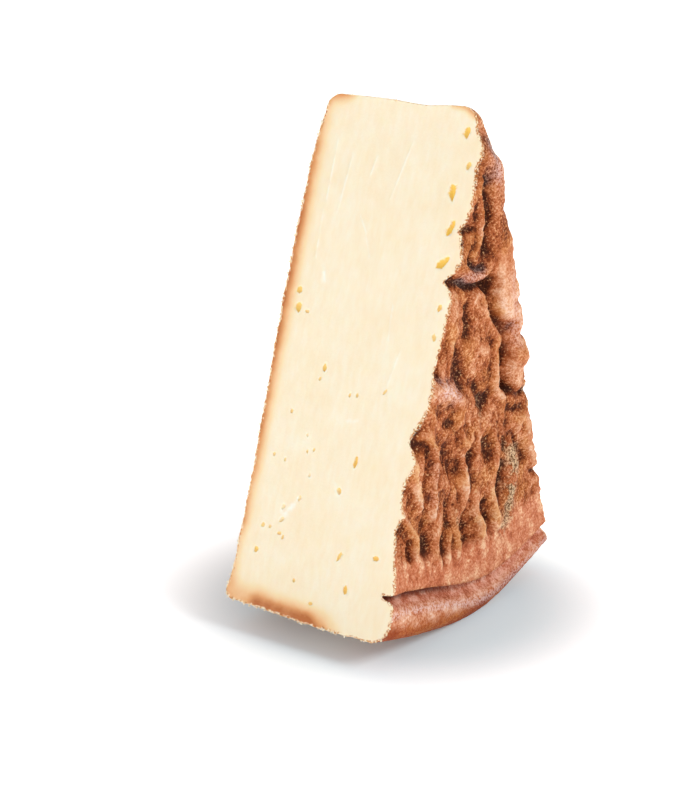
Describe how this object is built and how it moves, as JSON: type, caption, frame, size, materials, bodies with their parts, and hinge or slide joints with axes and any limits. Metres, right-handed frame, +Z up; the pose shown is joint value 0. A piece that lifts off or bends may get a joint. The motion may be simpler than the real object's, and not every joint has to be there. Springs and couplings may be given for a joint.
{
  "type": "wedge of vacherin fribourgeois cheese",
  "caption": "Wedge of semi-soft cheese standing on its curved heel, with pale cut faces, a thin rind and a deeply wrinkled rind on one side.",
  "frame": {"origin": "middle of the small flat spot under the curved heel, on which the wedge stands", "axes": "+Z up, from the heel towards the tip; +X along the wheel's axis, out of the wrinkled rind; the cut faces are turned about X by half the wedge's angle to each side of the XZ plane, and the one towards -Y is the front"},
  "size_m": [0.0737, 0.1128, 0.1829],
  "materials": {
    "cheese": "satin cream paste, with a dull red-brown rind"
  },
  "bodies": {
    "root": {"cheese_wedge": "cheese"}
  },
  "joints": []
}
